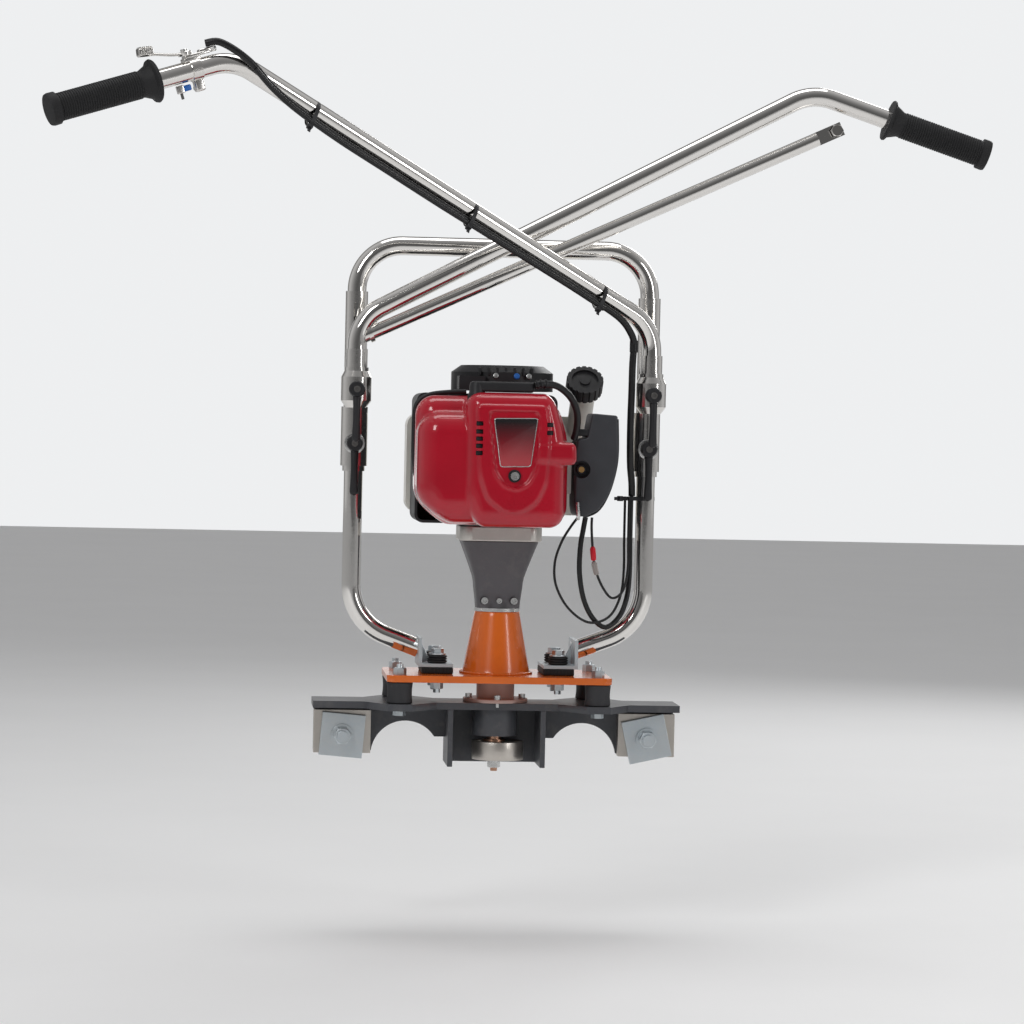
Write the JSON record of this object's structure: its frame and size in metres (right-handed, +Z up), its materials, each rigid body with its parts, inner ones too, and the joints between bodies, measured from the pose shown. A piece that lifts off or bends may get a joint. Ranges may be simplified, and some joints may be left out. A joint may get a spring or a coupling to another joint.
{
  "type": "concrete vibrator",
  "caption": "Petrol drive head for a vibrating screed beam: engine on a rubber-mounted plate over an eccentric rotor, with a carrying loop and two swivelling handlebars.",
  "frame": {"origin": "on the rotor's axis, at the underside of the bracket's top plate, where the screed beam seats", "axes": "+Z up along the rotor's axis; +X along the bracket, towards the plain handlebar's grip; -Y towards the side with the red cover and the clamp nuts"},
  "size_m": [1.0844, 0.3938, 0.8141],
  "materials": {
    "slate_paint": "satin dark slate powder coat",
    "primed_flange": "thin primer over turned steel",
    "bearing_steel": "turned, bright",
    "screw_steel": "dull plated",
    "pad_steel": "ground stainless",
    "zinc_plate": "zinc plated",
    "buffer_rubber": "matt",
    "orange_paint": "gloss powder coat",
    "neck_paint": "satin over casting",
    "cast_aluminium": "cast, machined faces",
    "chrome": "polished",
    "red_cover": "gloss moulded",
    "black_casing": "fine grain",
    "tank_plastic": "translucent white",
    "filter_plastic": "fine grain",
    "muffler_steel": "heat dulled",
    "machined_steel": "turned",
    "coupling_steel": "turned",
    "grip_rubber": "matt ribbed",
    "lever_alloy": "die cast",
    "cable_sheath": "satin sheath"
  },
  "bodies": {
    "frame": {"bracket_plate": "slate_paint", "bracket_channel": "slate_paint", "bracket_webs": "slate_paint", "rotor_housing": "slate_paint", "bearing_flange": "primed_flange", "ball_bearings": "bearing_steel", "machine_screws": "screw_steel", "beam_pads": "pad_steel", "clamp_bolts": "zinc_plate", "rubber_buffers": "buffer_rubber", "plate_fasteners": "zinc_plate", "mount_plate": "orange_paint", "drive_cone": "orange_paint", "cone_ring": "bearing_steel", "clutch_housing": "neck_paint", "engine_flange": "cast_aluminium", "foot_plates": "chrome", "foot_pads": "buffer_rubber", "lower_tube_left": "chrome", "lower_tube_right": "chrome", "crankcase": "cast_aluminium", "cylinder_block": "cast_aluminium", "engine_cover": "red_cover", "engine_shroud": "black_casing", "fuel_tank": "tank_plastic", "air_cleaner": "filter_plastic", "carburettor": "cast_aluminium", "muffler": "muffler_steel", "recoil_housing": "black_casing", "spark_plug": "black_casing", "drop_cable": "cable_sheath", "engine_cables": "cable_sheath"},
    "clamp_left": {"clamp_plate_left": "zinc_plate"},
    "clamp_right": {"clamp_plate_right": "zinc_plate"},
    "rotor": {"eccentric_shaft": "machined_steel", "eccentric_weight": "machined_steel", "rotor_nut": "machined_steel", "shaft_coupling": "coupling_steel", "clutch_drum": "machined_steel"},
    "crank": {"crankshaft": "machined_steel", "flywheel": "cast_aluminium", "clutch_shoes": "machined_steel"},
    "piston": {"piston": "cast_aluminium"},
    "cap": {"fuel_cap": "black_casing"},
    "starter": {"starter_handle": "black_casing"},
    "upper_frame": {"carry_loop": "chrome", "column_left": "chrome", "column_right": "chrome"},
    "handlebar_left": {"handlebar_left": "chrome", "grip_left": "grip_rubber", "throttle_clamp": "lever_alloy", "arm_cable": "cable_sheath"},
    "handlebar_right": {"handlebar_right": "chrome", "grip_right": "grip_rubber", "brace_tube": "chrome"},
    "throttle": {"throttle_lever": "lever_alloy"},
    "swivel_lever_left": {"lever_upper_left": "black_casing"},
    "swivel_lever_right": {"lever_upper_right": "black_casing"},
    "height_lever_left": {"lever_lower_left": "black_casing"},
    "height_lever_right": {"lever_lower_right": "black_casing"}
  },
  "joints": [
    {"name": "frame_height", "type": "slide", "parent": "frame", "child": "upper_frame", "axis": [0, 0, 1], "range_m": [0, 0.08], "deforming": ["drop_cable"]},
    {"name": "handlebar_left_swivel", "type": "hinge", "parent": "upper_frame", "child": "handlebar_left", "pos_m": [0.17, -0.032, 0.4], "axis": [0, 0, 1], "range_deg": [0, 85]},
    {"name": "handlebar_right_swivel", "type": "hinge", "parent": "upper_frame", "child": "handlebar_right", "pos_m": [-0.17, -0.032, 0.4], "axis": [0, 0, 1], "range_deg": [-33, 0]},
    {"name": "swivel_lever_left_turn", "type": "hinge", "parent": "upper_frame", "child": "swivel_lever_left", "pos_m": [-0.17, -0.0515, 0.366], "axis": [0, 1, 0], "range_deg": [0, 100]},
    {"name": "swivel_lever_right_turn", "type": "hinge", "parent": "upper_frame", "child": "swivel_lever_right", "pos_m": [0.17, -0.0515, 0.366], "axis": [0, -1, 0], "range_deg": [0, 100]},
    {"name": "height_lever_left_turn", "type": "hinge", "parent": "upper_frame", "child": "height_lever_left", "pos_m": [-0.17, -0.0195, 0.304], "axis": [0, 1, 0], "range_deg": [0, 100]},
    {"name": "height_lever_right_turn", "type": "hinge", "parent": "upper_frame", "child": "height_lever_right", "pos_m": [0.17, -0.0195, 0.304], "axis": [0, -1, 0], "range_deg": [0, 100]},
    {"name": "throttle_turn", "type": "hinge", "parent": "handlebar_left", "child": "throttle", "pos_m": [-0.37005, -0.22856, 0.72026], "axis": [-0.2904, -0.1057, 0.9511], "range_deg": [0, 55]},
    {"name": "clamp_left_turn", "type": "hinge", "parent": "frame", "child": "clamp_left", "pos_m": [-0.177, -0.0088, -0.033], "axis": [0, 1, 0], "range_deg": [-27, 18]},
    {"name": "clamp_right_turn", "type": "hinge", "parent": "frame", "child": "clamp_right", "pos_m": [0.177, -0.0088, -0.033], "axis": [0, 1, 0], "range_deg": [-10, 35]},
    {"name": "rotor_spin", "type": "hinge", "parent": "frame", "child": "rotor", "pos_m": [0, 0, 0], "axis": [0, 0, 1], "continuous": true},
    {"name": "crank_spin", "type": "hinge", "parent": "frame", "child": "crank", "pos_m": [0, 0, 0.3], "axis": [0, 0, 1], "continuous": true},
    {"name": "piston_stroke", "type": "slide", "parent": "frame", "child": "piston", "axis": [0, -1, 0], "range_m": [-0.015, 0.015]},
    {"name": "fuel_cap_turn", "type": "hinge", "parent": "frame", "child": "cap", "pos_m": [0.096, -0.008, 0.383], "axis": [0, -0.7431, 0.6691], "range_deg": [0, 120]},
    {"name": "starter_pull", "type": "slide", "parent": "frame", "child": "starter", "axis": [0, 1, 0], "range_m": [0, 0.5], "stiffness_N_per_m": 12, "springref_m": -0.25}
  ],
  "couplings": [
    {"joint": "handlebar_right_swivel", "follows": "handlebar_left_swivel", "ratio": -0.38}
  ]
}
